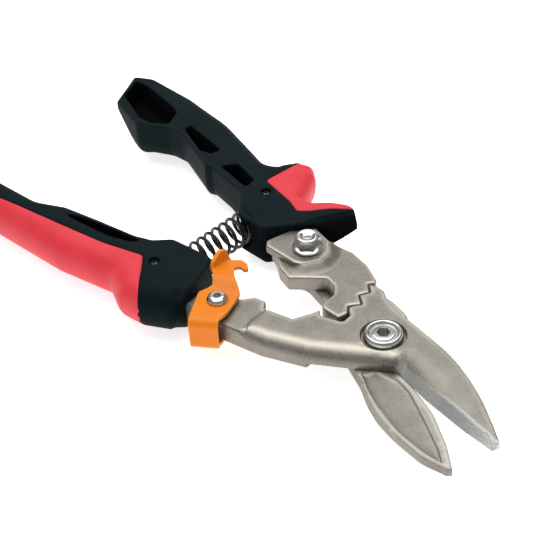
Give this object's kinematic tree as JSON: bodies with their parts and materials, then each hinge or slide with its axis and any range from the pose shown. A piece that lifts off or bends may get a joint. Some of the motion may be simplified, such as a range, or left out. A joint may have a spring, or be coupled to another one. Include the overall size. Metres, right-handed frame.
{
  "type": "aviation snips",
  "caption": "Compound-action metal snips with an offset toothed lever, hollow-ground blades, a coil return spring, a bent sheet latch and two-colour handles.",
  "frame": {"origin": "on the main pivot's axis, at the flat rear end of the pivot bolt", "axes": "+X along the tool towards the blade tips, +Z along the main pivot towards the tool's front, so the tool lies on its back"},
  "size_m": [0.2581, 0.1089, 0.0255],
  "materials": {
    "satin_steel": "blasted, with ground edges",
    "chrome": "bright plated",
    "bronze": "plain",
    "orange_paint": "glossy",
    "black_spring": "black gloss",
    "black_plastic": "fine moulded grain",
    "red_rubber": "soft satin"
  },
  "bodies": {
    "lower_side": {"fixed_blade": "satin_steel", "main_pivot_bolt": "chrome", "pivot_washer": "chrome", "pivot_nut": "chrome", "latch_screw": "chrome", "latch_nut": "chrome", "lower_handle_front_shell": "black_plastic", "lower_handle_back_shell": "black_plastic", "lower_grip": "red_rubber", "lower_handle_screw": "chrome", "lower_spring_seat": "black_plastic", "return_spring": "black_spring"},
    "blade": {"moving_blade": "satin_steel", "pivot_bush": "bronze", "lever_pivot_bolt": "chrome", "lever_pivot_washer": "chrome", "lever_pivot_nut": "chrome"},
    "upper_side": {"gear_lever": "satin_steel", "upper_handle_front_shell": "black_plastic", "upper_handle_back_shell": "black_plastic", "upper_thumb_grip": "red_rubber", "upper_handle_screw": "chrome", "upper_spring_seat": "black_plastic"},
    "latch": {"safety_latch": "orange_paint"}
  },
  "joints": [
    {"name": "blade_pivot", "type": "hinge", "parent": "lower_side", "child": "blade", "pos_m": [0, 0, 0.01], "axis": [0, 0, 1], "range_deg": [0, 14.5], "stiffness_Nm_per_rad": 5.5, "springref_deg": -10.31, "deforming": ["return_spring"]},
    {"name": "lever_pivot", "type": "hinge", "parent": "blade", "child": "upper_side", "pos_m": [-0.0515, 0.0174, 0.01], "axis": [0, 0, 1], "range_deg": [0, 6.1]},
    {"name": "latch_pivot", "type": "hinge", "parent": "lower_side", "child": "latch", "pos_m": [-0.056, -0.0263, 0.01], "axis": [0, 0, 1], "range_deg": [-30, 0]}
  ],
  "couplings": [
    {"joint": "lever_pivot", "follows": "blade_pivot", "ratio": 0.42}
  ]
}
